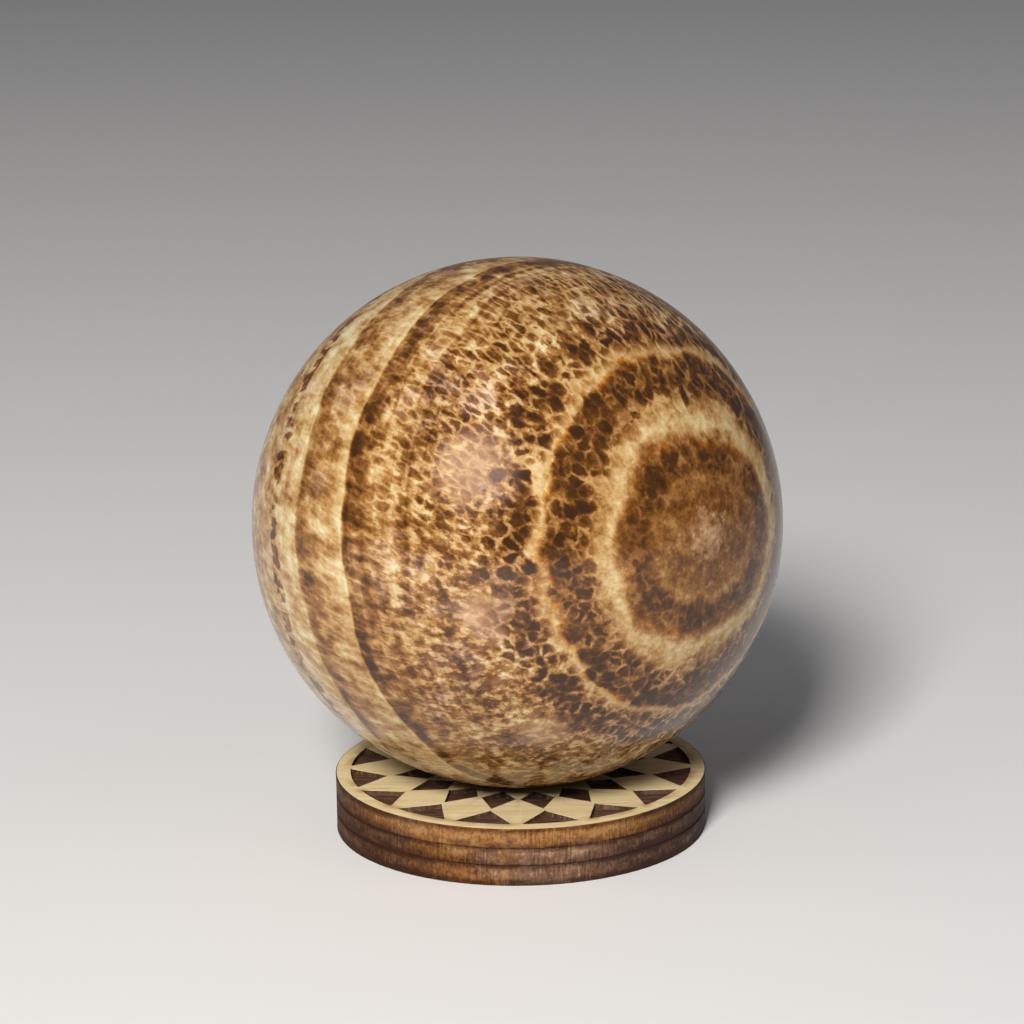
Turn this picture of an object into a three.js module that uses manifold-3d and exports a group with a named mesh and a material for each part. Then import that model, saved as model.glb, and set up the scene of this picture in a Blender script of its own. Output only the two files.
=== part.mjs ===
// A polished stone ball resting on its own small stand, a laser-cut disc of three-ply wood.
// Millimetres, +Z up. The origin is the centre of the stand's underside, and -Y is the front.

import * as THREE from "three";
import { mergeVertices, toCreasedNormals } from "three/addons/utils/BufferGeometryUtils.js";
import Module from "manifold-3d";

const wasm = await Module();
wasm.setup();

// ---- Driving dimensions ----

const BALL_DIAMETER = 56.4;

const STAND_DIAMETER = 40;
const PLY_THICKNESSES = [2.15, 1.85, 2.2]; // from the underside up
const GLUE_GROOVE_WIDTH = 0.3; // the laser burns the two glue lines back a little
const GLUE_GROOVE_DEPTH = 0.12;

const SEAT_HOLE_DIAMETER = 14; // cut right through; the ball sits on its upper edge
const SEAT_CLEARANCE = 0.05;

// The rosette is a checkerboard of kites. Its rings of corners shrink by one ratio, and each ring
// is turned half a step from the last. Every other kite is burnt out as a shallow pocket.
const ROSETTE_REPEATS = 16;
const ROSETTE_RADIUS = 19; // where the tips of the outer standing diamonds would lie
const ROSETTE_RATIO = 0.75;
const RIM_WIDTH = 1.6; // the plain ring that cuts off the outer row of pockets
const LAND_WIDTH = 0.25; // the wood left between neighbouring pockets
const POCKET_DEPTH = 0.5;

// How finely the round shapes are faceted.
const BALL_SEGMENTS = 64;
const BALL_RINGS = 30;
const STAND_SEGMENTS = 96;

// ---- Values worked out from them ----

const ballRadius = BALL_DIAMETER / 2;
const standRadius = STAND_DIAMETER / 2;
const holeRadius = SEAT_HOLE_DIAMETER / 2;
const standHeight = PLY_THICKNESSES.reduce((sum, ply) => sum + ply, 0);
const glueHeights = [PLY_THICKNESSES[0], PLY_THICKNESSES[0] + PLY_THICKNESSES[1]];
const ballHeight = standHeight + Math.sqrt(ballRadius ** 2 - holeRadius ** 2) + SEAT_CLEARANCE;

// ---- Solids and booleans ----

function solidFrom(geometry) {
  geometry.deleteAttribute("normal");
  geometry.deleteAttribute("uv");
  const merged = mergeVertices(geometry);
  return new wasm.Manifold(
    new wasm.Mesh({
      numProp: 3,
      vertProperties: Float32Array.from(merged.getAttribute("position").array),
      triVerts: Uint32Array.from(merged.getIndex().array),
    }),
  );
}

function geometryFrom(solid) {
  const mesh = solid.getMesh();
  const geometry = new THREE.BufferGeometry();
  geometry.setAttribute("position", new THREE.BufferAttribute(mesh.vertProperties, 3));
  geometry.setIndex(new THREE.BufferAttribute(mesh.triVerts, 1));
  const creaseAngle = THREE.MathUtils.degToRad(30);
  return toCreasedNormals(geometry, creaseAngle);
}

// Turns a shape made round three.js's Y axis so that it stands on Z.
function standUp(geometry) {
  return geometry.rotateX(Math.PI / 2);
}

// ---- The stand ----

// The disc's cross-section, anticlockwise from the lower edge of the seat hole.
function discProfile() {
  const profile = [new THREE.Vector2(holeRadius, 0), new THREE.Vector2(standRadius, 0)];
  for (const height of glueHeights) {
    profile.push(new THREE.Vector2(standRadius, height - GLUE_GROOVE_WIDTH / 2));
    profile.push(new THREE.Vector2(standRadius - GLUE_GROOVE_DEPTH, height));
    profile.push(new THREE.Vector2(standRadius, height + GLUE_GROOVE_WIDTH / 2));
  }
  profile.push(new THREE.Vector2(standRadius, standHeight));
  profile.push(new THREE.Vector2(holeRadius, standHeight));
  profile.push(profile[0].clone());
  return profile;
}

// Moves each side of an anticlockwise polygon inwards by the same distance.
function insetPolygon(corners, distance) {
  const count = corners.length;
  return corners.map((corner, i) => {
    const before = corner.clone().sub(corners[(i + count - 1) % count]).normalize();
    const after = corners[(i + 1) % count].clone().sub(corner).normalize();
    const shift = distance / after.cross(before);
    return corner.clone().addScaledVector(before, shift).addScaledVector(after, -shift);
  });
}

// The radius of a ring of rosette corners, counted from the outermost.
function ringRadius(ring) {
  return ROSETTE_RADIUS * ROSETTE_RATIO ** ring;
}

// One kite of the rosette. Its outer corner is on one ring, its side corners on the next
// and its inner corner on the one after, and its middle line points along turn.
function kitePocket(outerRing, turn) {
  const halfStep = Math.PI / ROSETTE_REPEATS;
  const polar = (ring, angle) => {
    const radius = ringRadius(ring);
    return new THREE.Vector2(radius * Math.cos(angle), radius * Math.sin(angle));
  };
  const corners = [
    polar(outerRing, turn),
    polar(outerRing + 1, turn + halfStep),
    polar(outerRing + 2, turn),
    polar(outerRing + 1, turn - halfStep),
  ];
  const outline = new THREE.Shape(insetPolygon(corners, LAND_WIDTH / 2));
  const geometry = new THREE.ExtrudeGeometry(outline, {
    depth: 2 * POCKET_DEPTH,
    bevelEnabled: false,
  });
  geometry.translate(0, 0, standHeight - POCKET_DEPTH);
  return solidFrom(geometry);
}

// A row of pockets midway between the diamonds, one of which faces the front.
function pocketRow(outerRing) {
  const step = (2 * Math.PI) / ROSETTE_REPEATS;
  const pockets = [];
  for (let i = 0; i < ROSETTE_REPEATS; i++) {
    pockets.push(kitePocket(outerRing, (i + 0.5) * step - Math.PI / 2));
  }
  return pockets.reduce((row, pocket) => row.add(pocket));
}

// The round inside the rim, which the outer pockets don't pass.
function insideRim() {
  const radius = standRadius - RIM_WIDTH;
  const disc = new THREE.CylinderGeometry(radius, radius, standHeight * 3, STAND_SEGMENTS);
  return solidFrom(standUp(disc));
}

function makeStand() {
  const disc = solidFrom(standUp(new THREE.LatheGeometry(discProfile(), STAND_SEGMENTS)));
  const outerPockets = pocketRow(-1).intersect(insideRim());
  const innerPockets = pocketRow(1);
  const carved = disc.subtract(outerPockets).subtract(innerPockets);
  const plywood = new THREE.MeshStandardMaterial({ color: 0x8a5f3a, roughness: 0.75, metalness: 0 });
  const stand = new THREE.Mesh(geometryFrom(carved), plywood);
  stand.name = "stand";
  return stand;
}

// ---- The ball ----

function makeSphere() {
  const geometry = standUp(new THREE.SphereGeometry(ballRadius, BALL_SEGMENTS, BALL_RINGS));
  const stone = new THREE.MeshStandardMaterial({ color: 0xa27a4c, roughness: 0.12, metalness: 0 });
  const sphere = new THREE.Mesh(geometry, stone);
  sphere.name = "sphere";
  sphere.position.z = ballHeight;
  return sphere;
}

const ballOnStand = new THREE.Group();
ballOnStand.add(makeStand());
ballOnStand.add(makeSphere());

export default ballOnStand;
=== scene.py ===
# %% [markdown]
# # A polished stone ball on its plywood stand
#
# This lesson dresses a small ornament: a ball ground and polished from banded brown calcite,
# resting in the hole of a laser-cut round of three-ply wood. The solids of both pieces already
# exist at their real size. Here they get their fine surfaces, their finishes, a floor, some
# light and a camera.
#
# The first cell loads the solids.

# %% Load the solids
import math

import bpy
from mathutils import Matrix, Vector


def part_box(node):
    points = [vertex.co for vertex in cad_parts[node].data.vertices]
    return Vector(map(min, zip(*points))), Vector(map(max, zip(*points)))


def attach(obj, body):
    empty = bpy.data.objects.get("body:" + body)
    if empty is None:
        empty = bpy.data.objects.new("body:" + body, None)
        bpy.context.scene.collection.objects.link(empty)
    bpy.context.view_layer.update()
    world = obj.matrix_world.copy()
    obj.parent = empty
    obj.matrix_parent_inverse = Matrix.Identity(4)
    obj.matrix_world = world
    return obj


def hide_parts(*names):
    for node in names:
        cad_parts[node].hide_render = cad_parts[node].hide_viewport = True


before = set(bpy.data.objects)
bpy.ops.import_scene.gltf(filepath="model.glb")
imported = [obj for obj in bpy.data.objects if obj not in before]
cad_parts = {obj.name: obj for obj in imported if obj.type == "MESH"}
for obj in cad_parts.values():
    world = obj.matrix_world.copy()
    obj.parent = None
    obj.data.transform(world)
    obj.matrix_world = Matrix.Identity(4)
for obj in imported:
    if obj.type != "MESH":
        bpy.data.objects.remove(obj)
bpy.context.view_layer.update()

print("the solids are", sorted(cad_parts))

# %% [markdown]
# ## Sizes
#
# Everything is in metres. The size and place of the ball and of the stand come from their
# solids, and the finer sizes below are the maker's: how thick the plies are, how deep the laser
# burns, and how the rosette is laid out.

# %% Read the sizes
MM = 0.001

ball_low, ball_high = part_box("sphere")
ball_centre = (ball_low + ball_high) / 2
ball_radius = (ball_high.z - ball_low.z) / 2

stand_low, stand_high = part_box("stand")
stand_radius = (stand_high.x - stand_low.x) / 2
stand_top = stand_high.z

PLIES = (2.15 * MM, 1.85 * MM, 2.2 * MM)  # from the underside up
GLUE_HEIGHTS = (PLIES[0], PLIES[0] + PLIES[1])
GROOVE_HALF = 0.15 * MM  # half the height of the groove at a glue line
GROOVE_DEPTH = 0.12 * MM
SEAT_HOLE_RADIUS = 7 * MM

ROSETTE_REPEATS = 16
ROSETTE_RADIUS = 19 * MM  # the outermost ring of corners
ROSETTE_RATIO = 0.75  # each ring of corners is this much smaller than the last
RIM_WIDTH = 1.6 * MM
LAND_WIDTH = 0.25 * MM  # the wood left between neighbouring pockets

print(f"ball radius {ball_radius / MM:.2f} mm, centre {ball_centre.z / MM:.2f} mm up")
print(f"stand radius {stand_radius / MM:.2f} mm, {stand_top / MM:.2f} mm thick")

# %% [markdown]
# ## Camera
#
# A small object looks natural from about an arm's length away through a long lens. The camera
# stands in front of the stand and a little above the ball, tilted down until the horizon leaves
# the frame. It is turned slightly about its own axis, as a camera held by hand is.

# %% Place the camera
CAMERA_LENS = 123.0  # millimetres, as is the width of the sensor
SENSOR_WIDTH = 36.0
NEAREST_SEEN = 10 * MM
CAMERA_PLACE = Vector((-0.56 * MM, -359.6 * MM, 128.7 * MM))
CAMERA_TILT = math.radians(14.65)
CAMERA_ROLL = math.radians(-0.76)
CAMERA_SWING = math.radians(1.6)  # round the stand, so that the rosette is seen a little askew

camera_data = bpy.data.cameras.new("camera")
camera_data.lens = CAMERA_LENS
camera_data.sensor_width = SENSOR_WIDTH
camera_data.clip_start = NEAREST_SEEN
camera = bpy.data.objects.new("camera", camera_data)
bpy.context.scene.collection.objects.link(camera)
tilted = Matrix.Rotation(math.radians(90) - CAMERA_TILT, 4, "X")
tilted = tilted @ Matrix.Rotation(CAMERA_ROLL, 4, "Z")
swung = Matrix.Rotation(CAMERA_SWING, 4, "Z") @ Matrix.Translation(CAMERA_PLACE)
camera.matrix_world = swung @ tilted
bpy.context.scene.camera = camera
print("the camera is at", [round(value, 3) for value in camera.matrix_world.translation])

# %% [markdown]
# ## Floor and light
#
# The floor is a plain pale sheet, matt like painted board. It reaches so far back that only
# floor is behind the ball, and its far part, where less light falls, serves as the backdrop.

# %% Lay the floor
FLOOR_WIDTH = 4.0
FLOOR_BACK = 1.2  # how far its middle lies behind the stand
FLOOR_COLOUR = (0.74, 0.73, 0.72, 1)
FLOOR_ROUGHNESS = 0.7

bpy.ops.object.select_all(action="DESELECT")
bpy.ops.mesh.primitive_plane_add(size=FLOOR_WIDTH, location=(0, FLOOR_BACK, 0))
floor = bpy.context.object
floor.name = "floor"
bpy.ops.object.transform_apply(location=True, rotation=True, scale=True)
floor_paint = bpy.data.materials.new("floor_paint")
floor_paint.use_nodes = True
floor_shader = floor_paint.node_tree.nodes["Principled BSDF"]
floor_shader.inputs["Base Color"].default_value = FLOOR_COLOUR
floor_shader.inputs["Roughness"].default_value = FLOOR_ROUGHNESS
floor.data.materials.append(floor_paint)
print("the floor is", FLOOR_WIDTH, "m wide")

# %% [markdown]
# The main light is a soft panel from the front, a little to the left, which puts the shadow
# behind the ball on its right. Two larger and weaker panels stand at the sides. None of the
# three shows in reflections, because a large one would veil the dark stone. Two small discs show
# only in reflections, near where the main light stands, and they leave the soft mark of a window
# on the polish.

# %% Hang the lights
PANELS = (
    ("key_panel", -13, 34, 0.9, 0.22, 12.2, (1.0, 0.98, 0.95)),
    ("side_panel", -55, 42, 1.0, 0.9, 0.9, (1.0, 0.97, 0.93)),
    ("fill_panel", 60, 35, 1.0, 0.8, 0.5, (0.93, 0.95, 1.0)),
)
WINDOW_DISCS = (
    ("window_glow", -19, 36, 0.6, 0.36, 0.8, (0.98, 0.92, 1.0)),
    ("window_core", -19, 36, 0.6, 0.15, 0.09, (0.98, 0.92, 1.0)),
)


def aim_direction(azimuth, elevation):
    """A direction of length 1. Azimuth 0 is the front, and 90 the right."""
    around = math.radians(azimuth)
    above = math.radians(elevation)
    return Vector(
        (math.sin(around) * math.cos(above), -math.cos(around) * math.cos(above), math.sin(above))
    )


def hang_lamp(name, azimuth, elevation, distance, size, power, colour):
    """A flat soft lamp that looks at the ball. Angles are in degrees and power in watts."""
    data = bpy.data.lights.new(name, "AREA")
    data.size = size
    data.energy = power
    data.color = colour
    lamp = bpy.data.objects.new(name, data)
    bpy.context.scene.collection.objects.link(lamp)
    place = ball_centre + aim_direction(azimuth, elevation) * distance
    turn = (ball_centre - place).to_track_quat("-Z", "Y").to_matrix().to_4x4()
    lamp.matrix_world = Matrix.Translation(place) @ turn
    return lamp


for values in PANELS:
    panel = hang_lamp(*values)
    panel.data.shape = "SQUARE"
    panel.visible_glossy = False
for values in WINDOW_DISCS:
    window = hang_lamp(*values)
    window.data.shape = "DISK"
    window.visible_diffuse = False

# %% [markdown]
# A faint cool light from all round keeps the shadows open. The plain Standard view shows every
# colour as it is mixed, which makes the finishes easier to judge.

# %% Light the room
ROOM_COLOUR = (0.9, 0.92, 1.0, 1)
ROOM_STRENGTH = 0.11

world = bpy.data.worlds.new("studio")
world.use_nodes = True
room_light = world.node_tree.nodes["Background"]
room_light.inputs["Color"].default_value = ROOM_COLOUR
room_light.inputs["Strength"].default_value = ROOM_STRENGTH
bpy.context.scene.world = world
bpy.context.scene.view_settings.view_transform = "Standard"
print("the room's own light has strength", ROOM_STRENGTH)

# %% [markdown]
# ## Small helpers for the finishes
#
# A finish is a tree of shader nodes. These helpers add one node each and wire it up, so that a
# pattern can be written almost as a formula. A value may be a plain number or the output of
# another node.


# %% Helpers that add one node each
def new_finish(name):
    """A procedural material that so far holds only its shader."""
    finish = bpy.data.materials.new(name)
    finish.use_nodes = True
    return finish


def shader_of(finish):
    return finish.node_tree.nodes["Principled BSDF"]


def feed(finish, value, socket):
    """Wires an output to a socket, or sets the socket to a plain value."""
    if isinstance(value, bpy.types.NodeSocket):
        finish.node_tree.links.new(value, socket)
    else:
        socket.default_value = value


def add_node(finish, kind, **settings):
    node = finish.node_tree.nodes.new(kind)
    for setting, value in settings.items():
        setattr(node, setting, value)
    return node


def calc(finish, operation, *values, clamp=False):
    """One sum: ADD, MULTIPLY, MAXIMUM and so on."""
    node = add_node(finish, "ShaderNodeMath", operation=operation, use_clamp=clamp)
    for value, socket in zip(values, node.inputs):
        feed(finish, value, socket)
    return node.outputs[0]


def vector_calc(finish, operation, first, second=None):
    """One sum on vectors. DISTANCE and LENGTH give a number."""
    node = add_node(finish, "ShaderNodeVectorMath", operation=operation)
    feed(finish, first, node.inputs[0])
    if operation == "SCALE":
        feed(finish, second, node.inputs["Scale"])
    elif second is not None:
        feed(finish, second, node.inputs[1])
    return node.outputs["Value" if operation in ("DISTANCE", "LENGTH") else "Vector"]


def axes(finish, place):
    """The three numbers of a vector, by the names X, Y and Z."""
    node = add_node(finish, "ShaderNodeSeparateXYZ")
    feed(finish, place, node.inputs[0])
    return node.outputs


def rise(finish, value, start, end):
    """0 before start, 1 after end, and a smooth rise between them."""
    node = add_node(finish, "ShaderNodeMapRange", interpolation_type="SMOOTHSTEP")
    feed(finish, value, node.inputs["Value"])
    feed(finish, start, node.inputs["From Min"])
    feed(finish, end, node.inputs["From Max"])
    return node.outputs["Result"]


def noise(finish, place, scale, detail=2.0, roughness=0.5, output="Fac"):
    """A cloudy pattern with values round 0.5. Its Color output gives three of them."""
    node = add_node(finish, "ShaderNodeTexNoise")
    feed(finish, place, node.inputs["Vector"])
    node.inputs["Scale"].default_value = scale
    node.inputs["Detail"].default_value = detail
    node.inputs["Roughness"].default_value = roughness
    return node.outputs[output]


print("helpers for single nodes ready")

# %% [markdown]
# A Mix node has a pair of sockets for each kind of value, so here they are picked by number. A
# colour ramp sorts its stops by position, so their colours are filled in once the positions are.


# %% Helpers that mix and colour
def mix_numbers(finish, share, first, second):
    node = add_node(finish, "ShaderNodeMix", data_type="FLOAT")
    for value, index in ((share, 0), (first, 2), (second, 3)):
        feed(finish, value, node.inputs[index])
    return node.outputs[0]


def mix_colours(finish, share, first, second, way="MIX"):
    node = add_node(finish, "ShaderNodeMix", data_type="RGBA", blend_type=way)
    for value, index in ((share, 0), (first, 6), (second, 7)):
        feed(finish, value, node.inputs[index])
    return node.outputs[2]


def ramp(finish, value, stops):
    """A colour ramp from (position, colour) pairs, of which it holds 32 at most."""
    node = add_node(finish, "ShaderNodeValToRGB")
    elements = node.color_ramp.elements
    while len(elements) < len(stops):
        elements.new(0.5)
    positions, colours = zip(*stops)
    for element, position in zip(elements, positions):
        element.position = position
    for element, colour in zip(elements, colours):
        element.color = colour
    feed(finish, value, node.inputs[0])
    return node.outputs[0]


def emboss(finish, height, depth):
    """Raises and sinks the surface by a pattern. The depth is in metres."""
    bump = add_node(finish, "ShaderNodeBump")
    bump.inputs["Strength"].default_value = 1.0
    bump.inputs["Distance"].default_value = depth
    feed(finish, height, bump.inputs["Height"])
    feed(finish, bump.outputs[0], shader_of(finish).inputs["Normal"])


print("helpers for colours and bumps ready")

# %% [markdown]
# The last helpers write a whole step. The one used most is vary, which lets a pattern raise a
# value where it is above its middle and lower the value where it is below.


# %% Helpers for whole steps
def vary(finish, base, pattern, middle, amount, strength=1.0):
    """Adds a pattern to the base, by an amount that may be weaker in places."""
    change = calc(finish, "MULTIPLY", calc(finish, "SUBTRACT", pattern, middle), amount)
    if strength != 1.0:
        change = calc(finish, "MULTIPLY", change, strength)
    return calc(finish, "ADD", base, change)


def product(finish, first, *others):
    result = first
    for other in others:
        result = calc(finish, "MULTIPLY", result, other)
    return result


def flipped(finish, value):
    """1 where the value is 0, and 0 where it is 1."""
    return calc(finish, "SUBTRACT", 1.0, value)


def gap(finish, value, goal):
    """How far the value is from the goal, on either side."""
    return calc(finish, "ABSOLUTE", calc(finish, "SUBTRACT", value, goal))


print("helpers for whole steps ready")

# %% [markdown]
# ## The ball
#
# A stone ball begins as a sawn cube, whose corners are ground away until it rolls. The mesh is
# made the same way: a cube is subdivided into a fine even grid and drawn to a sphere. That gives
# no poles and no long thin faces, so the polish shades evenly everywhere. Drawing to a sphere
# takes the mean radius of the corners, so the ball is then scaled to its real one.

# %% Grind the cube to a ball
FIRST_GRID = 60  # faces along an edge of the cube, before each is halved

bpy.ops.object.select_all(action="DESELECT")
bpy.ops.mesh.primitive_cube_add(size=2 * ball_radius, location=ball_centre)
ball = bpy.context.object
ball.name = "stone_ball"
bpy.ops.object.transform_apply(location=True, rotation=True, scale=True)
bpy.ops.object.mode_set(mode="EDIT")
bpy.ops.mesh.select_all(action="SELECT")
bpy.ops.mesh.subdivide(number_cuts=FIRST_GRID - 1)
bpy.ops.mesh.subdivide(number_cuts=1)
bpy.ops.transform.tosphere(value=1.0, center_override=ball_centre)
bpy.ops.object.mode_set(mode="OBJECT")
rough_radius = (ball.data.vertices[0].co - ball_centre).length
shrink = ball_radius / rough_radius
bpy.ops.object.mode_set(mode="EDIT")
bpy.ops.transform.resize(value=(shrink, shrink, shrink), center_override=ball_centre)
bpy.ops.object.mode_set(mode="OBJECT")
print("the ball has", len(ball.data.polygons), "faces")

# %% [markdown]
# A hand-fed grinder never leaves a perfect sphere. A Displace modifier with a broad cloud
# pattern takes up to a few hundredths of a millimetre off, and never adds any.

# %% Leave the grinder's waves
GRIND_WAVES = 0.06 * MM
GRIND_WAVE_LENGTH = 9 * MM

waves = bpy.data.textures.new("grinding_waves", "CLOUDS")
waves.noise_scale = GRIND_WAVE_LENGTH
waves.noise_depth = 1
grinding = ball.modifiers.new("grinding", "DISPLACE")
grinding.texture = waves
grinding.texture_coords = "LOCAL"
grinding.strength = -GRIND_WAVES
grinding.mid_level = 0.0
bpy.ops.object.modifier_apply(modifier=grinding.name)
bpy.ops.object.shade_smooth()
radii = [(vertex.co - ball_centre).length for vertex in ball.data.vertices]
print(f"the ball's radius runs from {min(radii) / MM:.3f} to {max(radii) / MM:.3f} mm")

# %% [markdown]
# ## The stand
#
# The stand is a round of three-ply wood cut out by a laser. It starts as a cylinder whose two
# flat faces are inset as far as the seat hole. Bridging the two inner faces opens the hole right
# through and keeps the mesh in clean rings, as a boolean cut would not.

# %% Cut out the disc
WALL_FACETS = 720
HOLE_CUTS = 4  # rings of edges added down the hole

bpy.ops.object.select_all(action="DESELECT")
bpy.ops.mesh.primitive_cylinder_add(
    vertices=WALL_FACETS, radius=stand_radius, depth=stand_top, location=(0, 0, stand_top / 2)
)
stand = bpy.context.object
stand.name = "plywood_stand"
bpy.ops.object.transform_apply(location=True, rotation=True, scale=True)

bpy.ops.object.mode_set(mode="EDIT")
bpy.ops.mesh.select_mode(type="FACE")
bpy.ops.mesh.select_all(action="DESELECT")
bpy.ops.object.mode_set(mode="OBJECT")
for face in stand.data.polygons:
    face.select = abs(face.normal.z) > 0.5
bpy.ops.object.mode_set(mode="EDIT")
bpy.ops.mesh.inset(thickness=stand_radius - SEAT_HOLE_RADIUS)
bpy.ops.mesh.bridge_edge_loops(number_cuts=HOLE_CUTS)
print(f"the disc is {2 * stand_radius / MM:.1f} mm across")
print(f"its seat hole is {2 * SEAT_HOLE_RADIUS / MM:.1f} mm across")

# %% [markdown]
# The wall is cut into rows, so that the cloud patterns of the next step have something to move.
# At each glue line the rows lie close together and the middle one is drawn in, because the beam
# burnt the glue back into a fine groove. The rims are eased last, as with sandpaper.

# %% Cut the rows and ease the rims
PLY_ROWS = 7
RIM_EASE = 0.1 * MM
SEAT_EASE = 0.06 * MM
TOUCHING = 0.01 * MM  # a point this close to a place counts as on it


def pick_corners(piece, test):
    """Goes into edit mode with just the corners selected that pass the test."""
    bpy.ops.object.mode_set(mode="EDIT")
    bpy.ops.mesh.select_mode(type="VERT")
    bpy.ops.mesh.select_all(action="DESELECT")
    bpy.ops.object.mode_set(mode="OBJECT")
    for vertex in piece.data.vertices:
        vertex.select = test(vertex.co)
    bpy.ops.object.mode_set(mode="EDIT")


def near(value, goal):
    return abs(value - goal) < TOUCHING


def on_face(co):
    """Whether a point lies on the upper face or on the underside."""
    return near(co.z, 0) or near(co.z, stand_top)


def cut_wall(height):
    """Adds a ring of edges round the wall, and leaves just that ring selected."""
    pick_corners(stand, lambda co: co.xy.length > stand_radius - MM)
    bpy.ops.mesh.bisect(plane_co=(0, 0, height), plane_no=(0, 0, 1))


ply_bottom = 0.0
for ply in PLIES:
    span = ply - 2 * GROOVE_HALF
    for row in range(PLY_ROWS + 1):
        cut_wall(ply_bottom + GROOVE_HALF + span * row / PLY_ROWS)
    ply_bottom += ply
shrink = 1 - GROOVE_DEPTH / stand_radius
for height in GLUE_HEIGHTS:
    cut_wall(height)
    bpy.ops.transform.resize(value=(shrink, shrink, 1), center_override=(0, 0, height))

pick_corners(stand, lambda co: on_face(co) and near(co.xy.length, stand_radius))
bpy.ops.mesh.bevel(offset=RIM_EASE, segments=3, affect="EDGES")
pick_corners(stand, lambda co: on_face(co) and near(co.xy.length, SEAT_HOLE_RADIUS))
bpy.ops.mesh.bevel(offset=SEAT_EASE, segments=2, affect="EDGES")
bpy.ops.mesh.select_all(action="SELECT")
bpy.ops.mesh.normals_make_consistent(inside=False)
bpy.ops.object.mode_set(mode="OBJECT")
print("the disc has", len(stand.data.polygons), "faces")

# %% [markdown]
# The beam leaves fine upright flutes on the wall, and the glue lines waver a little because the
# veneers are not quite flat. Both come from Displace modifiers that read a cloud pattern through
# an empty. The empty is stretched upwards, so the pattern hardly changes from row to row.

# %% Roughen the wall
FLUTE_DEPTH = 0.05 * MM
FLUTE_WIDTH = 0.45 * MM
GLUE_WAVER = 0.16 * MM
GLUE_WAVE_LENGTH = 3.5 * MM
UPRIGHT_STRETCH = 12
WALL_SKIN = 0.2 * MM  # how far in a corner of the wall may lie, grooves and all
RIM_MARGIN = 0.14 * MM  # how far the eased rims reach, and a little more


def shift_wall(name, test, grain, direction, strength, mid_level):
    """Moves the corners that pass the test by a cloud pattern that runs upright."""
    group = stand.vertex_groups.new(name=name)
    group.add([vertex.index for vertex in stand.data.vertices if test(vertex.co)], 1.0, "REPLACE")
    pattern = bpy.data.textures.new(name, "CLOUDS")
    pattern.noise_scale = grain
    pattern.noise_depth = 2
    upright = bpy.data.objects.new(name, None)
    bpy.context.scene.collection.objects.link(upright)
    upright.scale = (1, 1, UPRIGHT_STRETCH)
    bpy.context.view_layer.update()
    shift = stand.modifiers.new(name, "DISPLACE")
    shift.texture = pattern
    shift.texture_coords = "OBJECT"
    shift.texture_coords_object = upright
    shift.vertex_group = group.name
    shift.direction = direction
    shift.strength = strength
    shift.mid_level = mid_level
    bpy.ops.object.modifier_apply(modifier=shift.name)
    bpy.data.objects.remove(upright)


def on_wall(co):
    return co.xy.length > stand_radius - WALL_SKIN and RIM_MARGIN < co.z < stand_top - RIM_MARGIN


def at_glue(co):
    from_glue = min(abs(co.z - height) for height in GLUE_HEIGHTS)
    return on_wall(co) and from_glue < GROOVE_HALF + TOUCHING


bpy.context.view_layer.objects.active = stand
stand.select_set(True)
shift_wall("glue_waver", at_glue, GLUE_WAVE_LENGTH, "Z", GLUE_WAVER, 0.5)
shift_wall("flutes", on_wall, FLUTE_WIDTH, "NORMAL", FLUTE_DEPTH, 1.0)
print("flutes up to", FLUTE_DEPTH / MM, "mm deep")

# %% [markdown]
# ## The rosette
#
# The rosette is a checkerboard of kites, and every other kite is burnt out as a shallow pocket.
# One pocket of each row is modelled as a tool, which is then repeated and taken out of the disc.
# It begins as a plate: a filled circle of the size of the rim's inner edge, trimmed along the
# four sides of the kite. So the outer pockets end in an arc of the rim, and the inner ones in a
# point.

# %% Trim a plate to one kite
HALF_STEP = math.pi / ROSETTE_REPEATS
RIM_POINTS = 480


def rosette_corner(ring, turn):
    radius = ROSETTE_RADIUS * ROSETTE_RATIO**ring
    return Vector((radius * math.cos(turn), radius * math.sin(turn), stand_top))


def kite_plate(name, outer_ring):
    """One kite as a flat plate. Its outermost corner would lie on the given ring."""
    bpy.ops.object.select_all(action="DESELECT")
    bpy.ops.mesh.primitive_circle_add(
        vertices=RIM_POINTS,
        radius=stand_radius - RIM_WIDTH,
        fill_type="NGON",
        location=(0, 0, stand_top),
    )
    plate = bpy.context.object
    plate.name = name
    bpy.ops.object.transform_apply(location=True, rotation=True, scale=True)
    turn = HALF_STEP - math.pi / 2
    corners = [
        rosette_corner(outer_ring, turn),
        rosette_corner(outer_ring + 1, turn + HALF_STEP),
        rosette_corner(outer_ring + 2, turn),
        rosette_corner(outer_ring + 1, turn - HALF_STEP),
    ]
    bpy.ops.object.mode_set(mode="EDIT")
    for start, end in zip(corners, corners[1:] + corners[:1]):
        outward = (end - start).normalized().cross(Vector((0, 0, 1)))
        place = start - outward * LAND_WIDTH / 2
        bpy.ops.mesh.select_all(action="SELECT")
        bpy.ops.mesh.bisect(plane_co=place, plane_no=outward, clear_outer=True)
    bpy.ops.object.mode_set(mode="OBJECT")
    return plate


outer_row = kite_plate("outer_pockets", -1)
inner_row = kite_plate("inner_pockets", 1)
print("corners of the plates:", len(outer_row.data.vertices), len(inner_row.data.vertices))

# %% [markdown]
# A beam has a width, so the corners of a burnt pocket are a little round. The sharp ones are
# found by how far the outline turns there. Then the plate is grown upwards into a cap, which
# stands clear of the disc, and stepped downwards through a chamfer, a leaning wall and a rounded
# foot. A spin with copies repeats it round the axis.

# %% Grow the plates into pockets
CORNER_EASE = 0.18 * MM
SHARP_TURN = math.radians(15)
POCKET_CAP = 0.4 * MM
POCKET_STEPS = ((0.03, 0.03), (0.01, 0.39), (0.04, 0.08))  # inwards and down, in mm


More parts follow.
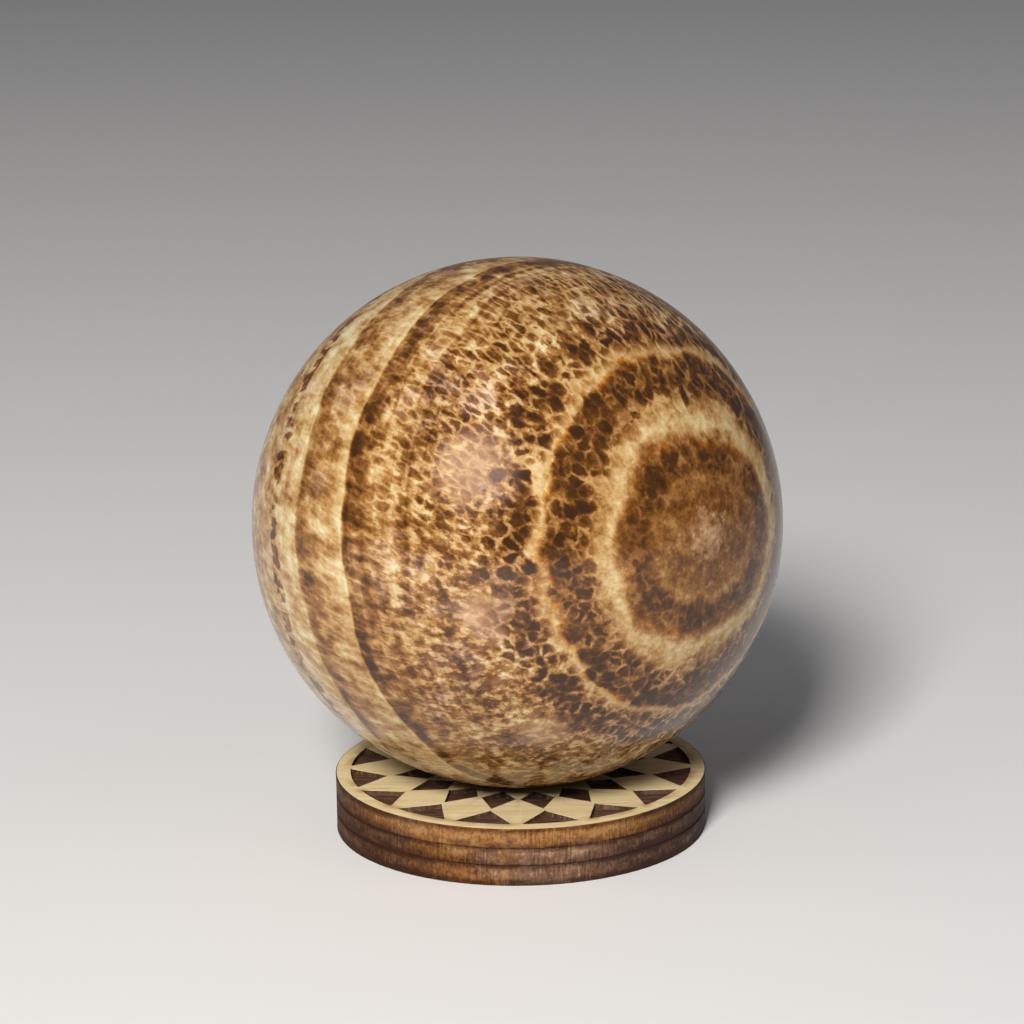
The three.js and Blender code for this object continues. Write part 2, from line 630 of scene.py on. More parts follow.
def ease_corners(plate):
    """Rounds the sharp corners of a plate, and stays in edit mode."""
    outline = [plate.data.vertices[index].co.copy() for index in plate.data.polygons[0].vertices]
    sharp = []
    for before, here, after in zip(outline[-1:] + outline[:-1], outline, outline[1:] + outline[:1]):
        if (here - before).angle(after - here) > SHARP_TURN:
            sharp.append(here)
    pick_corners(plate, lambda co: any((co - corner).length < TOUCHING for corner in sharp))
    bpy.ops.mesh.bevel(offset=CORNER_EASE, segments=3, affect="VERTICES")


def grow_pockets(plate):
    """Makes a plate into a whole row of pockets."""
    bpy.ops.object.select_all(action="DESELECT")
    plate.select_set(True)
    bpy.context.view_layer.objects.active = plate
    ease_corners(plate)
    bpy.ops.mesh.select_all(action="SELECT")
    bpy.ops.mesh.extrude_region_move(TRANSFORM_OT_translate={"value": (0, 0, POCKET_CAP)})
    bpy.ops.mesh.select_all(action="SELECT")
    bpy.ops.mesh.normals_make_consistent(inside=False)
    pick_corners(plate, lambda co: near(co.z, stand_top))
    for inwards, down in POCKET_STEPS:
        bpy.ops.mesh.inset(thickness=inwards * MM, depth=down * MM)
    bpy.ops.mesh.select_all(action="SELECT")
    bpy.ops.mesh.spin(
        dupli=True,
        steps=ROSETTE_REPEATS - 1,
        angle=2 * math.pi - 2 * HALF_STEP,
        center=(0, 0, 0),
        axis=(0, 0, 1),
    )
    bpy.ops.mesh.select_all(action="SELECT")
    bpy.ops.mesh.normals_make_consistent(inside=False)
    bpy.ops.object.mode_set(mode="OBJECT")
    print(plate.name, "has", len(plate.data.polygons), "faces in all")


grow_pockets(outer_row)
grow_pockets(inner_row)

# %% [markdown]
# The two rows become one tool, and one boolean takes it out of the disc. Smooth shading by angle
# keeps the edges of the pockets crisp and the round walls round.

# %% Burn out the rosette
SMOOTH_TURN = math.radians(28)

bpy.ops.object.select_all(action="DESELECT")
outer_row.select_set(True)
inner_row.select_set(True)
bpy.context.view_layer.objects.active = outer_row
bpy.ops.object.join()

bpy.ops.object.select_all(action="DESELECT")
stand.select_set(True)
bpy.context.view_layer.objects.active = stand
burning = stand.modifiers.new("burning", "BOOLEAN")
burning.operation = "DIFFERENCE"
burning.solver = "EXACT"
burning.object = outer_row
bpy.ops.object.modifier_apply(modifier=burning.name)
bpy.data.objects.remove(outer_row)
bpy.ops.object.shade_smooth_by_angle(angle=SMOOTH_TURN)
print("the stand has", len(stand.data.polygons), "faces")

# %% [markdown]
# ## The stone
#
# This calcite grew in layers on a cave floor. Every layer is made of slim crystals that stand
# side by side across it, so the stone has two patterns at once. Cut across, the crystals show as
# small cells with pale seams. Cut lengthwise, they show as dark spindles in a paler ground.
#
# The bands live in coordinates of their own, in millimetres, whose Z axis is the direction of
# growth. On a ball they are then only a matter of the angle from that axis. The crystals lean
# over a little, so they have a second set of coordinates, whose Z axis runs along them.

# %% Aim the growth and the crystals
GROWTH_AIM = (45.8, 7.9)  # azimuth and elevation in degrees
CRYSTAL_AIM = (42.0, -14.0)


def stone_coordinates(aim):
    """Coordinates in millimetres from the ball's centre, with Z along the aim."""
    direction = aim_direction(*aim)
    mapping = add_node(stone, "ShaderNodeMapping", vector_type="TEXTURE")
    mapping.inputs["Location"].default_value = ball_centre
    mapping.inputs["Rotation"].default_value = direction.to_track_quat("Z", "Y").to_euler()
    mapping.inputs["Scale"].default_value = (MM, MM, MM)
    feed(stone, stone_place, mapping.inputs["Vector"])
    print("aimed at", [round(value, 3) for value in direction])
    return mapping.outputs["Vector"]


stone = new_finish("banded_calcite")
stone_place = add_node(stone, "ShaderNodeTexCoord").outputs["Object"]
growth_mm = stone_coordinates(GROWTH_AIM)
crystal_mm = stone_coordinates(CRYSTAL_AIM)
from_centre = vector_calc(stone, "SUBTRACT", stone_place, ball_centre)
from_centre = vector_calc(stone, "SCALE", from_centre, 1 / MM)

# %% [markdown]
# The crystals are a three-dimensional Voronoi pattern drawn out along their axis. They are not
# neat prisms. Before the pattern is read, two noises push its coordinates about. A slow one bends
# the seams by a fraction of a crystal, and a fine one leaves them jagged.

# %% Grow the crystals
JAGGEDNESS = 0.16  # millimetres
JAGGED_SCALE = 2.3  # teeth to the millimetre


def lengthened(stretch):
    """The crystals' coordinates, with everything drawn out along them."""
    return vector_calc(stone, "MULTIPLY", crystal_mm, (1, 1, 1 / stretch))


def crystals(width, stretch, wander, wander_scale, offset):
    """Crystals of one size. Each has two random numbers of its own, a middle and a seam."""
    pushed = lengthened(stretch)
    for reach, scale in ((wander, wander_scale), (JAGGEDNESS, JAGGED_SCALE)):
        push = noise(stone, growth_mm, scale, output="Color")
        push = vector_calc(stone, "SUBTRACT", push, (0.5, 0.5, 0.5))
        pushed = vector_calc(stone, "ADD", pushed, vector_calc(stone, "SCALE", push, 2 * reach))
    pushed = vector_calc(stone, "SCALE", pushed, 1 / width)
    pushed = vector_calc(stone, "ADD", pushed, (offset, offset, offset))
    middles = add_node(stone, "ShaderNodeTexVoronoi", feature="F1")
    seams = add_node(stone, "ShaderNodeTexVoronoi", feature="DISTANCE_TO_EDGE")
    for pattern in (middles, seams):
        pattern.inputs["Scale"].default_value = 1.0
        feed(stone, pushed, pattern.inputs["Vector"])
    own = add_node(stone, "ShaderNodeSeparateColor")
    feed(stone, middles.outputs["Color"], own.inputs[0])
    return {
        "tone": own.outputs["Red"],
        "lead": own.outputs["Green"],
        "middle": middles.outputs["Distance"],
        "seam": seams.outputs["Distance"],
    }


cells = crystals(width=1.35, stretch=1.9, wander=0.5, wander_scale=0.6, offset=0.0)
spindles = crystals(width=0.9, stretch=2.8, wander=0.4, wander_scale=0.7, offset=7.3)
print("two sizes of crystal are in place")

# %% [markdown]
# Now the bands. Their angle from the growth axis is the arc cosine of the height along it. A
# slow noise makes the layers wander. Each crystal also runs a little ahead of its neighbours or
# behind them, which makes the soft side of a layer ragged. Both fade close to the axis, where
# the layers stay round. The edges where growth stopped and began again stay crisp, some of them
# more than others.

# %% Measure the angle of every point from the growth axis
LAYER_WANDER = 1.5  # millimetres
CRYSTAL_LEAD = 0.55  # millimetres
CRISP_EDGES = ((39.3, 0.55), (76.6, 0.9), (82.0, 0.9), (96.4, 0.9))  # degrees, and how crisp
CALM_WIDTH = 3.5  # degrees on each side of a crisp edge


def growth_angle(shift):
    """The angle from the growth axis in degrees, after a shift along the axis."""
    height = calc(stone, "ADD", growth_height, shift)
    level = calc(stone, "DIVIDE", height, ball_radius / MM)
    level = calc(stone, "MINIMUM", calc(stone, "MAXIMUM", level, -1.0), 1.0)
    return calc(stone, "DEGREES", calc(stone, "ARCCOSINE", level))


growth_height = axes(stone, growth_mm)["Z"]
slow = noise(stone, growth_mm, 0.075, 2.0, 0.4)
layer_drift = calc(stone, "MULTIPLY", calc(stone, "SUBTRACT", slow, 0.5), 2 * LAYER_WANDER)
layer_drift = calc(stone, "MULTIPLY", layer_drift, rise(stone, growth_angle(0.0), 2.0, 26.0))
clean_angle = growth_angle(layer_drift)

ragged = 1.0
stained = 1.0
for edge, crispness in CRISP_EDGES:
    away = gap(stone, clean_angle, edge)
    calm = calc(stone, "MULTIPLY", rise(stone, away, CALM_WIDTH, 0.3), crispness)
    ragged = calc(stone, "MULTIPLY", ragged, flipped(stone, calm))
    stained = calc(stone, "MULTIPLY", stained, rise(stone, away, 0.8, CALM_WIDTH))
lead = calc(stone, "MULTIPLY", calc(stone, "SUBTRACT", cells["lead"], 0.5), 2 * CRYSTAL_LEAD)
lead = product(stone, lead, ragged, rise(stone, clean_angle, 20.0, 32.0))
ragged_angle = growth_angle(calc(stone, "ADD", layer_drift, lead))
print("layers wander by", LAYER_WANDER, "mm, and crystals run ahead by", CRYSTAL_LEAD, "mm")

# %% [markdown]
# The record of growth is a list of bands. Each entry gives the angle in degrees, how pale the
# stone is there from 0, nearly black, to 1, milky, how clearly the cells stand out, and how
# clearly the spindles do. A layer starts with a crisp pale rim, darkens slowly, and ends where
# the next one starts.

# %% Write down the growth record
GROWTH_RECORD = (
    (0, 0.44, 0.0, 0.1),
    (6, 0.35, 0.0, 0.1),
    (10, 0.35, 0.0, 0.1),
    (13.5, 0.46, 0.1, 0.1),
    (15.5, 0.26, 0.4, 0.0),
    (19, 0.25, 0.5, 0.0),
    (21.5, 0.44, 0.2, 0.1),
    (24, 0.79, 0.0, 0.0),
    (27.5, 0.60, 0.1, 0.0),
    (30, 0.40, 0.9, 0.0),
    (32.5, 0.28, 0.85, 0.0),
    (38.5, 0.25, 0.8, 0.0),
    (39.0, 0.48, 0.2, 0.0),
    (39.9, 0.72, 0.0, 0.0),
    (41.2, 0.64, 0.4, 0.0),
    (42.8, 0.41, 0.9, 0.1),
    (45, 0.26, 0.9, 0.1),
    (48, 0.32, 0.9, 0.4),
    (51, 0.46, 0.6, 0.8),
    (55, 0.52, 0.1, 1.0),
    (60, 0.46, 0.0, 1.0),
    (66, 0.54, 0.0, 0.9),
    (76.4, 0.56, 0.0, 0.6),
    (76.8, 0.34, 0.3, 0.3),
    (81.6, 0.33, 0.4, 0.2),
    (82.2, 0.77, 0.0, 0.1),
    (84, 0.69, 0.0, 0.3),
    (90, 0.55, 0.0, 0.35),
    (96.1, 0.38, 0.0, 0.3),
    (96.8, 0.75, 0.0, 0.2),
    (103, 0.77, 0.0, 0.2),
    (110, 0.68, 0.0, 0.2),
)


def record_ramp(angle, column):
    share = calc(stone, "DIVIDE", angle, 180.0)
    stops = [(entry[0] / 180, (entry[column],) * 3 + (1,)) for entry in GROWTH_RECORD]
    return ramp(stone, share, stops)


band_tone = record_ramp(ragged_angle, 1)
cell_strength = record_ramp(ragged_angle, 2)
spindle_strength = record_ramp(ragged_angle, 3)
print("growth record:", len(GROWTH_RECORD), "entries")

# %% [markdown]
# Inside a band, six patterns vary the stone. Long streaks, shorter flecks and a fine grain run
# along the crystals. Slow clouds and blotchy mottles ignore them. The last pattern follows the
# growth instead. It changes quickly with the angle and hardly at all along a layer, so it draws
# fine layers.

# %% Make the patterns inside the bands
LAYER_FINENESS = 0.4  # turns of the pattern to a degree of growth
LAYER_BREAKS = 0.04  # turns to a millimetre along a layer

streaks = noise(stone, lengthened(3.8), 1.0, 3.0, 0.6)
flecks = noise(stone, lengthened(3.0), 1.25, 3.0, 0.6)
grains = noise(stone, lengthened(1.6), 2.6, 3.0, 0.65)
clouds = noise(stone, growth_mm, 0.26, 3.0, 0.6)
mottles = noise(stone, growth_mm, 0.5)

laid_down = add_node(stone, "ShaderNodeCombineXYZ")
feed(stone, calc(stone, "MULTIPLY", clean_angle, LAYER_FINENESS), laid_down.inputs["Z"])
breaks = vector_calc(stone, "SCALE", growth_mm, LAYER_BREAKS)
laid_down = vector_calc(stone, "ADD", laid_down.outputs[0], breaks)
layers = noise(stone, laid_down, 1.0, 2.0, 0.6)
print("six patterns are in place")

# %% [markdown]
# A crystal that is cut across has a dark rounded middle and a pale seam. The grain makes the
# seams uneven. Up to the dark ring some cells have begun to grow together, so their seams are
# faint. The spindles' seams join up into a net, most of all towards the top of the ball.

# %% Tell the middles of the crystals from their seams
CELL_SEAM = 0.2  # the widths of the seams, as shares of a crystal
COARSE_SEAM = 0.24
SPINDLE_SEAM = 0.24
ROUND_CORNERS = (0.76, 0.54)  # how far from its middle a cell stops, and where it is whole


def inside(seam, width):
    """1 inside a crystal and 0 in its seam."""
    return rise(stone, calc(stone, "ADD", seam, uneven), 0.02, width)


uneven = calc(stone, "MULTIPLY", calc(stone, "SUBTRACT", grains, 0.5), 0.3)
coarse = rise(stone, clean_angle, 39.5, 43.0)  # past the dark ring
seam_width = vary(stone, CELL_SEAM, coarse, 0.0, COARSE_SEAM - CELL_SEAM)
rounded = rise(stone, calc(stone, "SUBTRACT", cells["middle"], uneven), *ROUND_CORNERS)
in_cell = calc(stone, "MULTIPLY", inside(cells["seam"], seam_width), rounded)
merged = product(stone, rise(stone, mottles, 0.5, 0.62), 0.5, flipped(stone, coarse))
in_cell = calc(stone, "MAXIMUM", in_cell, merged)
in_spindle = inside(spindles["seam"], SPINDLE_SEAM)

higher = calc(stone, "MULTIPLY", axes(stone, from_centre)["Z"], 0.05)
netted = rise(stone, vary(stone, higher, mottles, 0.5, 1.4), -0.15, 0.75)
print("cells and spindles have their seams")

# %% [markdown]
# The tone of a point starts from its band and takes on one pattern after another. Each call
# below names the pattern, the value that leaves the tone as it is, how much it counts, and where
# it counts.

# %% Work out the tone of the stone
tone = vary(stone, band_tone, streaks, 0.5, 0.62)
tone = vary(stone, tone, clouds, 0.5, 0.5)
tone = vary(stone, tone, grains, 0.5, 0.4)

fleck_depth = vary(stone, 0.36, netted, 0.0, -0.16)
fleck_depth = calc(stone, "MULTIPLY", fleck_depth, calc(stone, "ADD", spindle_strength, 0.1))
tone = vary(stone, tone, rise(stone, flecks, 0.41, 0.63), 0.45, fleck_depth)

oldest_side = rise(stone, clean_angle, 80.0, 83.0)
layering = vary(stone, rise(stone, clean_angle, 52.0, 66.0), oldest_side, 0.0, -0.7)
tone = vary(stone, tone, layers, 0.5, 0.85, layering)
tone = vary(stone, tone, mottles, 0.5, 0.75, rise(stone, clean_angle, 72.0, 77.0))

cell_share = calc(stone, "MULTIPLY", in_cell, cell_strength)
tone = vary(stone, tone, cells["tone"], 1.3, 0.25, cell_share)
tone = vary(stone, tone, cell_share, 0.0, -0.07, coarse)
seam_shows = rise(stone, vary(stone, streaks, clouds, 0.5, 0.7), 0.34, 0.62)
in_seam = product(stone, flipped(stone, in_cell), cell_strength, seam_shows)
tone = vary(stone, tone, in_seam, 0.0, vary(stone, 0.22, coarse, 0.0, 0.08))

netting = calc(stone, "MULTIPLY", spindle_strength, calc(stone, "ADD", netted, 0.2))
in_net = calc(stone, "MULTIPLY", in_spindle, netting)
tone = vary(stone, tone, spindles["tone"], 1.3, 0.17, in_net)
tone = vary(stone, tone, flipped(stone, in_spindle), 0.0, 0.15, netting)
print("the tone takes", len(stone.node_tree.nodes), "nodes so far")

# %% [markdown]
# Three kinds of spot come last. Three pale spots are painted on: the upper two are painted
# highlights, where the soft reflections of a window fall on the polish, and the lowest is a pale
# patch low on the ball. The far layers have a row of small dark windows. The heart of the growth,
# on its axis, is pale and cloudy. The patterns push the outlines of all three about, so that none
# is a plain round or stripe.

# %% Add the painted highlights, the pale spot, the windows and the heart
HIGHLIGHT_AND_PALE_SPOTS = (((-9, 26), 4.5), ((-5, -4), 4.0), ((7, -34), 3.5))  # aim in degrees, reach in mm
HIGHLIGHT_SPOT_TONE = 0.66
WINDOW_BAND = (104.6, 109.0)  # degrees
WINDOW_SOFTNESS = 0.8  # degrees
WINDOW_DARKNESS = 0.42

# Painted highlights: the first two spots lie where soft window reflections fall, and the third is a
# pale patch.
highlight_and_pale_spots = 0.0
for aim, reach in HIGHLIGHT_AND_PALE_SPOTS:
    away = vector_calc(stone, "DISTANCE", from_centre, aim_direction(*aim) * ball_radius / MM)
    away = vary(stone, away, flecks, 0.5, 7.0)
    highlight_and_pale_spots = calc(stone, "MAXIMUM", highlight_and_pale_spots, rise(stone, away, reach, 0.3 * reach))
highlight_and_pale_spots = calc(stone, "MULTIPLY", highlight_and_pale_spots, 0.55)
tone = mix_numbers(stone, highlight_and_pale_spots, tone, HIGHLIGHT_SPOT_TONE)

window_start, window_end = WINDOW_BAND
window_angle = vary(stone, clean_angle, mottles, 0.5, 4.0)
panes = noise(stone, vector_calc(stone, "MULTIPLY", growth_mm, (1, 1, 0.4)), 0.8)
windows = product(
    stone,
    rise(stone, window_angle, window_start, window_start + WINDOW_SOFTNESS),
    rise(stone, window_angle, window_end, window_end - WINDOW_SOFTNESS),
    rise(stone, panes, 0.45, 0.56),
    rise(stone, clouds, 0.36, 0.48),
)
tone = vary(stone, tone, windows, 0.0, -WINDOW_DARKNESS)

heart = vary(stone, vary(stone, clean_angle, mottles, 0.5, 16.0), flecks, 0.5, 22.0)
heart = calc(stone, "MULTIPLY", rise(stone, heart, 7.5, 2.0), 0.8)
tone = vary(stone, tone, heart, 0.0, 0.26)
print(len(HIGHLIGHT_AND_PALE_SPOTS), "painted_highlights_and_pale_spot, and windows from", window_start, "to", window_end, "degrees")

# %% [markdown]
# Two palettes turn the tone into a colour, from burnt umber to cream. One is golden, as iron
# stains the stone, and the other rosy and greyer. Broad patches of each run into one another.
# The inner bands and the crisp edges are golden, and the painted highlights, the pale spot and the
# heart are rosy. Two of the dark bands end in an amber stain, which is multiplied in so that the
# crystals still show.

# %% Colour the stone
GOLDEN = (
    (0.0, (0.034, 0.013, 0.004, 1)),
    (0.17, (0.060, 0.022, 0.005, 1)),
    (0.34, (0.140, 0.053, 0.010, 1)),
    (0.5, (0.255, 0.116, 0.031, 1)),
    (0.66, (0.395, 0.232, 0.084, 1)),
    (0.83, (0.51, 0.378, 0.185, 1)),
    (1.0, (0.60, 0.53, 0.345, 1)),
)
ROSY = (
    (0.0, (0.036, 0.018, 0.010, 1)),
    (0.17, (0.062, 0.031, 0.018, 1)),
    (0.34, (0.138, 0.070, 0.038, 1)),
    (0.5, (0.26, 0.136, 0.068, 1)),
    (0.66, (0.40, 0.240, 0.130, 1)),
    (0.83, (0.53, 0.375, 0.235, 1)),
    (1.0, (0.61, 0.50, 0.38, 1)),
)
AMBER = (1.0, 0.74, 0.36, 1)  # it takes the blue out of the stone
AMBER_EDGES = ((39.2, 1.1), (20.9, 1.4))  # degrees, and how far the stain reaches

tints = noise(stone, growth_mm, 0.2, 3.0, 0.6)
rosiness = product(
    stone,
    rise(stone, vary(stone, tints, streaks, 0.5, 0.5), 0.48, 0.74),
    rise(stone, clean_angle, 36.0, 50.0),
    stained,
)
# The painted highlights and the pale spot are rosy, as is the heart.
rosiness = calc(stone, "ADD", rosiness, calc(stone, "MAXIMUM", heart, highlight_and_pale_spots), clamp=True)
stone_colour = mix_colours(stone, rosiness, ramp(stone, tone, GOLDEN), ramp(stone, tone, ROSY))
for edge, reach in AMBER_EDGES:
    near_edge = rise(stone, gap(stone, ragged_angle, edge), reach, 0.2)
    amber = calc(stone, "MULTIPLY", near_edge, rise(stone, mottles, 0.44, 0.6))
    stone_colour = mix_colours(stone, amber, stone_colour, AMBER, "MULTIPLY")
print("stone nodes:", len(stone.node_tree.nodes))

# %% [markdown]
# The stone takes a good polish, a little duller where it is milky. A trace of light goes into it
# and comes out again close by. The softer crystals polish away a hundredth of a millimetre deeper
# than the rest, which breaks up the reflections.

# %% Polish the stone
DARK_ROUGHNESS = 0.17
MILKY_ROUGHNESS = 0.27
STONE_IOR = 1.5
LIGHT_DEPTH = 0.8 * MM
ETCH_DEPTH = 0.012 * MM

stone_shader = shader_of(stone)
feed(stone, stone_colour, stone_shader.inputs["Base Color"])
milky = rise(stone, tone, 0.3, 0.9)
polish = vary(stone, DARK_ROUGHNESS, milky, 0.0, MILKY_ROUGHNESS - DARK_ROUGHNESS)
feed(stone, polish, stone_shader.inputs["Roughness"])
stone_shader.inputs["IOR"].default_value = STONE_IOR
stone_shader.inputs["Subsurface Weight"].default_value = 0.1
stone_shader.inputs["Subsurface Radius"].default_value = (1.0, 0.5, 0.25)
stone_shader.inputs["Subsurface Scale"].default_value = LIGHT_DEPTH
emboss(stone, vary(stone, grains, flecks, 0.0, 1.5), ETCH_DEPTH)
ball.data.materials.append(stone)
print("the stone's roughness runs from", DARK_ROUGHNESS, "to", MILKY_ROUGHNESS)

# %% [markdown]
# ## The wood
#
# The stand has three finishes. Its faces are bare pale birch, hazed brown beside the pockets.
# The pockets are scorched dark brown, with the grain showing through in paler streaks. The wall
# is burnt, and it grows darker towards its left and right sides.
#
# All three share one set of coordinates in millimetres. The face grain runs from side to side.


# %% Helpers for the wood
def wood_finish(name):
    """A new finish with its coordinates in millimetres."""
    finish = new_finish(name)
    place = add_node(finish, "ShaderNodeTexCoord").outputs["Object"]
    return finish, vector_calc(finish, "SCALE", place, 1 / MM)


def drawn_out(finish, place, x, y, z):
    """Coordinates divided by how far the pattern is drawn out along each axis."""
    return vector_calc(finish, "MULTIPLY", place, (1 / x, 1 / y, 1 / z))


def finish_wood(finish, colour, roughness, shine, height, depth):
    """Wires up the shader and gives the finish to the stand."""
    shader = shader_of(finish)
    feed(finish, colour, shader.inputs["Base Color"])
    shader.inputs["Roughness"].default_value = roughness
    shader.inputs["Specular IOR Level"].default_value = shine
    emboss(finish, height, depth)
    stand.data.materials.append(finish)
    print(finish.name, "has", len(finish.node_tree.nodes), "nodes")


print("helpers for the wood ready")

# %% [markdown]
# The birch has a soft grain, greener clouds and short dark pores. The beam's smoke left a brown
# haze along the inner edge of the rim, in patches.

# %% The bare faces
GRAIN_DEPTH = 0.02 * MM
GREENISH = (0.60, 0.52, 0.26, 1)
PORE_BROWN = (0.3, 0.19, 0.08, 1)
HAZE_BROWN = (0.36, 0.2, 0.07, 1)
HAZE_WIDTH = 1.1  # millimetres

pale, pale_mm = wood_finish("pale_birch")
pale_grain = noise(pale, drawn_out(pale, pale_mm, 9, 0.5, 9), 1.0, 4.0, 0.65)
birch = ramp(
    pale,
    pale_grain,
    ((0.25, (0.50, 0.37, 0.19, 1)), (0.5, (0.64, 0.51, 0.285, 1)), (0.75, (0.72, 0.60, 0.36, 1))),
)
pale_clouds = noise(pale, drawn_out(pale, pale_mm, 6, 2.5, 6), 1.0)
birch = mix_colours(pale, rise(pale, pale_clouds, 0.5, 0.75), birch, GREENISH)
pores = noise(pale, drawn_out(pale, pale_mm, 1.6, 0.12, 1.6), 1.0, 1.0)
pores = calc(pale, "MULTIPLY", rise(pale, pores, 0.68, 0.76), 0.45)
birch = mix_colours(pale, pores, birch, PORE_BROWN)

reach_out = vector_calc(pale, "LENGTH", vector_calc(pale, "MULTIPLY", pale_mm, (1, 1, 0)))
from_rim = gap(pale, reach_out, (stand_radius - RIM_WIDTH) / MM)
haze_patch = rise(pale, noise(pale, pale_mm, 0.35), 0.42, 0.58)
haze = product(pale, flipped(pale, rise(pale, from_rim, 0.0, HAZE_WIDTH)), haze_patch, 0.7)
birch = mix_colours(pale, haze, birch, HAZE_BROWN)
finish_wood(pale, birch, 0.62, 0.3, pale_grain, GRAIN_DEPTH)

# %% [markdown]
# The pockets show the same grain, scorched nearly black. The harder streaks of it stay a little
# paler, and they stand up where the beam ate less of them.

# %% The scorched pockets
CHAR_DEPTH = 0.05 * MM

scorch, scorch_mm = wood_finish("scorched_pocket")
scorch_grain = noise(scorch, drawn_out(scorch, scorch_mm, 2.6, 0.3, 2.6), 1.0, 4.0, 0.65)
char = ramp(
    scorch,
    scorch_grain,
    (
        (0.34, (0.044, 0.0204, 0.0116, 1)),
        (0.46, (0.065, 0.0328, 0.020, 1)),
        (0.55, (0.092, 0.0514, 0.0336, 1)),
        (0.63, (0.14, 0.0924, 0.066, 1)),
    ),
)
finish_wood(scorch, char, 0.75, 0.15, scorch_grain, CHAR_DEPTH)

# %% [markdown]
# On the wall, the beam burnt each ply least a little above its middle and most at the glue. Each
# entry in the list of burns gives a height in millimetres, and how much of the wood's own colour
# is left there. The dark lines waver with the glue. Patches, specks and fine upright flutes break
# up the rest, and the flutes are strongest here and there.

# %% How much of the wall's colour is left
BURNS = (
    (0.0, 0.10),
    (0.4, 0.24),
    (0.75, 0.56),
    (1.2, 0.72),
    (1.75, 0.62),
    (2.02, 0.30),
    (2.2, 0.16),
    (2.45, 0.42),
    (3.1, 0.66),
    (3.5, 0.74),
    (3.8, 0.58),
    (4.0, 0.22),
    (4.3, 0.52),
    (4.9, 0.84),
    (5.4, 0.96),
    (5.7, 0.76),
    (5.95, 0.42),
    (6.2, 0.52),
)
GLUE_LINE_WAVER = 0.34  # millimetres
SIDE_DARKENING = (8.5, 17.5)  # millimetres to the side, from where to where the wall darkens

burnt, burnt_mm = wood_finish("burnt_edge")
burnt_axes = axes(burnt, burnt_mm)
flutes = noise(burnt, drawn_out(burnt, burnt_mm, 0.2, 0.2, 2.6), 1.0, 3.0, 0.6)
patches = noise(burnt, drawn_out(burnt, burnt_mm, 2.0, 2.0, 0.8), 1.0, 4.0, 0.6)
specks = noise(burnt, drawn_out(burnt, burnt_mm, 0.3, 0.3, 0.45), 1.0, 3.0, 0.7)
waver = noise(burnt, drawn_out(burnt, burnt_mm, 1.4, 1.4, 60), 1.0, 3.0, 0.6)

level = vary(burnt, burnt_axes["Z"], waver, 0.5, GLUE_LINE_WAVER)
left = ramp(
    burnt,
    calc(burnt, "DIVIDE", level, stand_top / MM),
    [(height * MM / stand_top, (share, share, share, 1)) for height, share in BURNS],
)
fluted = noise(burnt, drawn_out(burnt, burnt_mm, 3.5, 3.5, 3.0), 1.0, 1.0)
left = vary(burnt, left, flutes, 0.5, 1.2, rise(burnt, fluted, 0.42, 0.62))
for pattern, amount in ((patches, 1.4), (specks, 1.2), (flutes, 0.2)):
    left = vary(burnt, left, pattern, 0.5, amount)

low_plies = rise(burnt, burnt_axes["Z"], GLUE_HEIGHTS[1] / MM + 0.2, GLUE_HEIGHTS[1] / MM - 0.2)
# Darker towards the left and right sides of the wall, and sooner on the lower plies.
sideways = vary(burnt, calc(burnt, "ABSOLUTE", burnt_axes["X"]), patches, 0.5, 7.0)
sideways = vary(burnt, sideways, low_plies, 0.0, 3.5)
left = vary(burnt, left, rise(burnt, sideways, *SIDE_DARKENING), 0.0, -0.45)
print("the list of burns has", len(BURNS), "heights")

# %% [markdown]
# Two palettes again. The wall is golden with rosy patches, and the two lower plies turn all rosy
# towards the right. Its bump makes the flutes catch the light.

# %% The burnt wall
FLUTE_RELIEF = 0.035 * MM

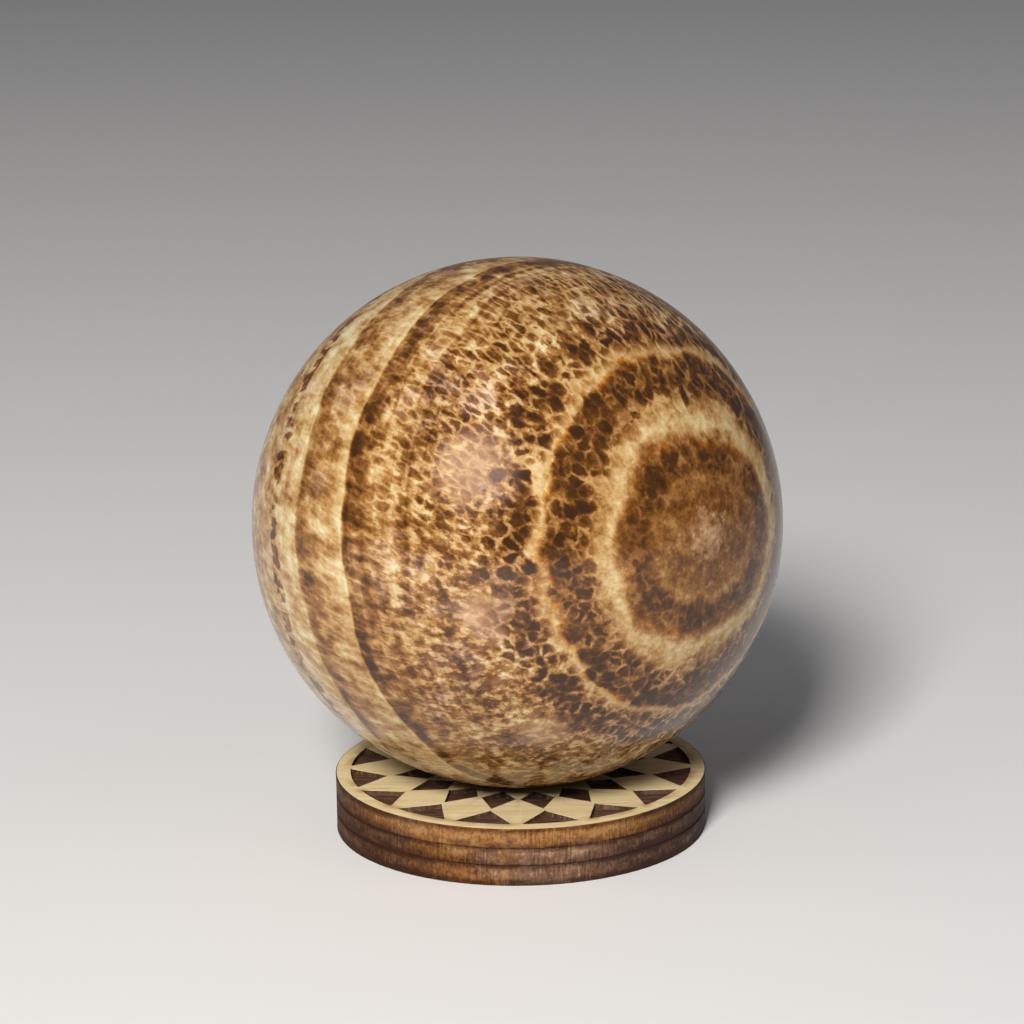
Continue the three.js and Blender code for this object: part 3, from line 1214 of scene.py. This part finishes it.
golden = ramp(
    burnt,
    left,
    (
        (0.0, (0.032, 0.012, 0.005, 1)),
        (0.25, (0.064, 0.023, 0.008, 1)),
        (0.5, (0.118, 0.047, 0.014, 1)),
        (0.8, (0.20, 0.090, 0.027, 1)),
        (1.0, (0.29, 0.145, 0.048, 1)),
    ),
)
rosy = ramp(
    burnt,
    left,
    (
        (0.0, (0.034, 0.016, 0.011, 1)),
        (0.25, (0.062, 0.032, 0.021, 1)),
        (0.5, (0.110, 0.057, 0.034, 1)),
        (0.8, (0.180, 0.098, 0.055, 1)),
        (1.0, (0.29, 0.18, 0.108, 1)),
    ),
)
wall_tints = noise(burnt, drawn_out(burnt, burnt_mm, 4.5, 4.5, 2.4), 1.0)
rightwards = vary(burnt, burnt_axes["X"], wall_tints, 0.5, 12.0)
rosy_plies = calc(burnt, "MULTIPLY", low_plies, rise(burnt, rightwards, -4.0, 1.0))
rosy_share = calc(burnt, "MULTIPLY", rise(burnt, wall_tints, 0.45, 0.7), 0.5)
rosy_share = calc(burnt, "ADD", rosy_share, rosy_plies, clamp=True)
wall = mix_colours(burnt, rosy_share, golden, rosy)
finish_wood(burnt, wall, 0.6, 0.12, flutes, FLUTE_RELIEF)

# %% [markdown]
# The faces of the stand are told apart by where they are. The wall and the inside of the seat
# hole are burnt, and so are their eased rims. The upper face and the underside are bare, and the
# rest belongs to the pockets.

# %% Give every face of the stand its finish
PALE, SCORCHED, BURNT = range(3)  # in the order in which the finishes were added
BURNT_WALL = 0.13 * MM  # how far the burn reaches in, at the wall and at the hole
BURNT_HOLE = 0.05 * MM

for face in stand.data.polygons:
    outwards = face.center.xy.length
    if outwards > stand_radius - BURNT_WALL or outwards < SEAT_HOLE_RADIUS + BURNT_HOLE:
        face.material_index = BURNT
    elif on_face(face.center):
        face.material_index = PALE
    else:
        face.material_index = SCORCHED
given = [face.material_index for face in stand.data.polygons]
counts = [given.count(kind) for kind in (PALE, SCORCHED, BURNT)]
print("faces of pale, scorched and burnt wood:", counts)

# %% [markdown]
# ## Hand over
#
# Every piece rides on the one body and says which solid it stands for, which is then hidden.

# %% Hand the pieces over
for piece, solid, finish_name in (
    (ball, "sphere", "banded_calcite"),
    (stand, "stand", "burnt_plywood"),
):
    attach(piece, "root")
    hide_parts(solid)
    print(piece.name, "stands for the solid", solid)
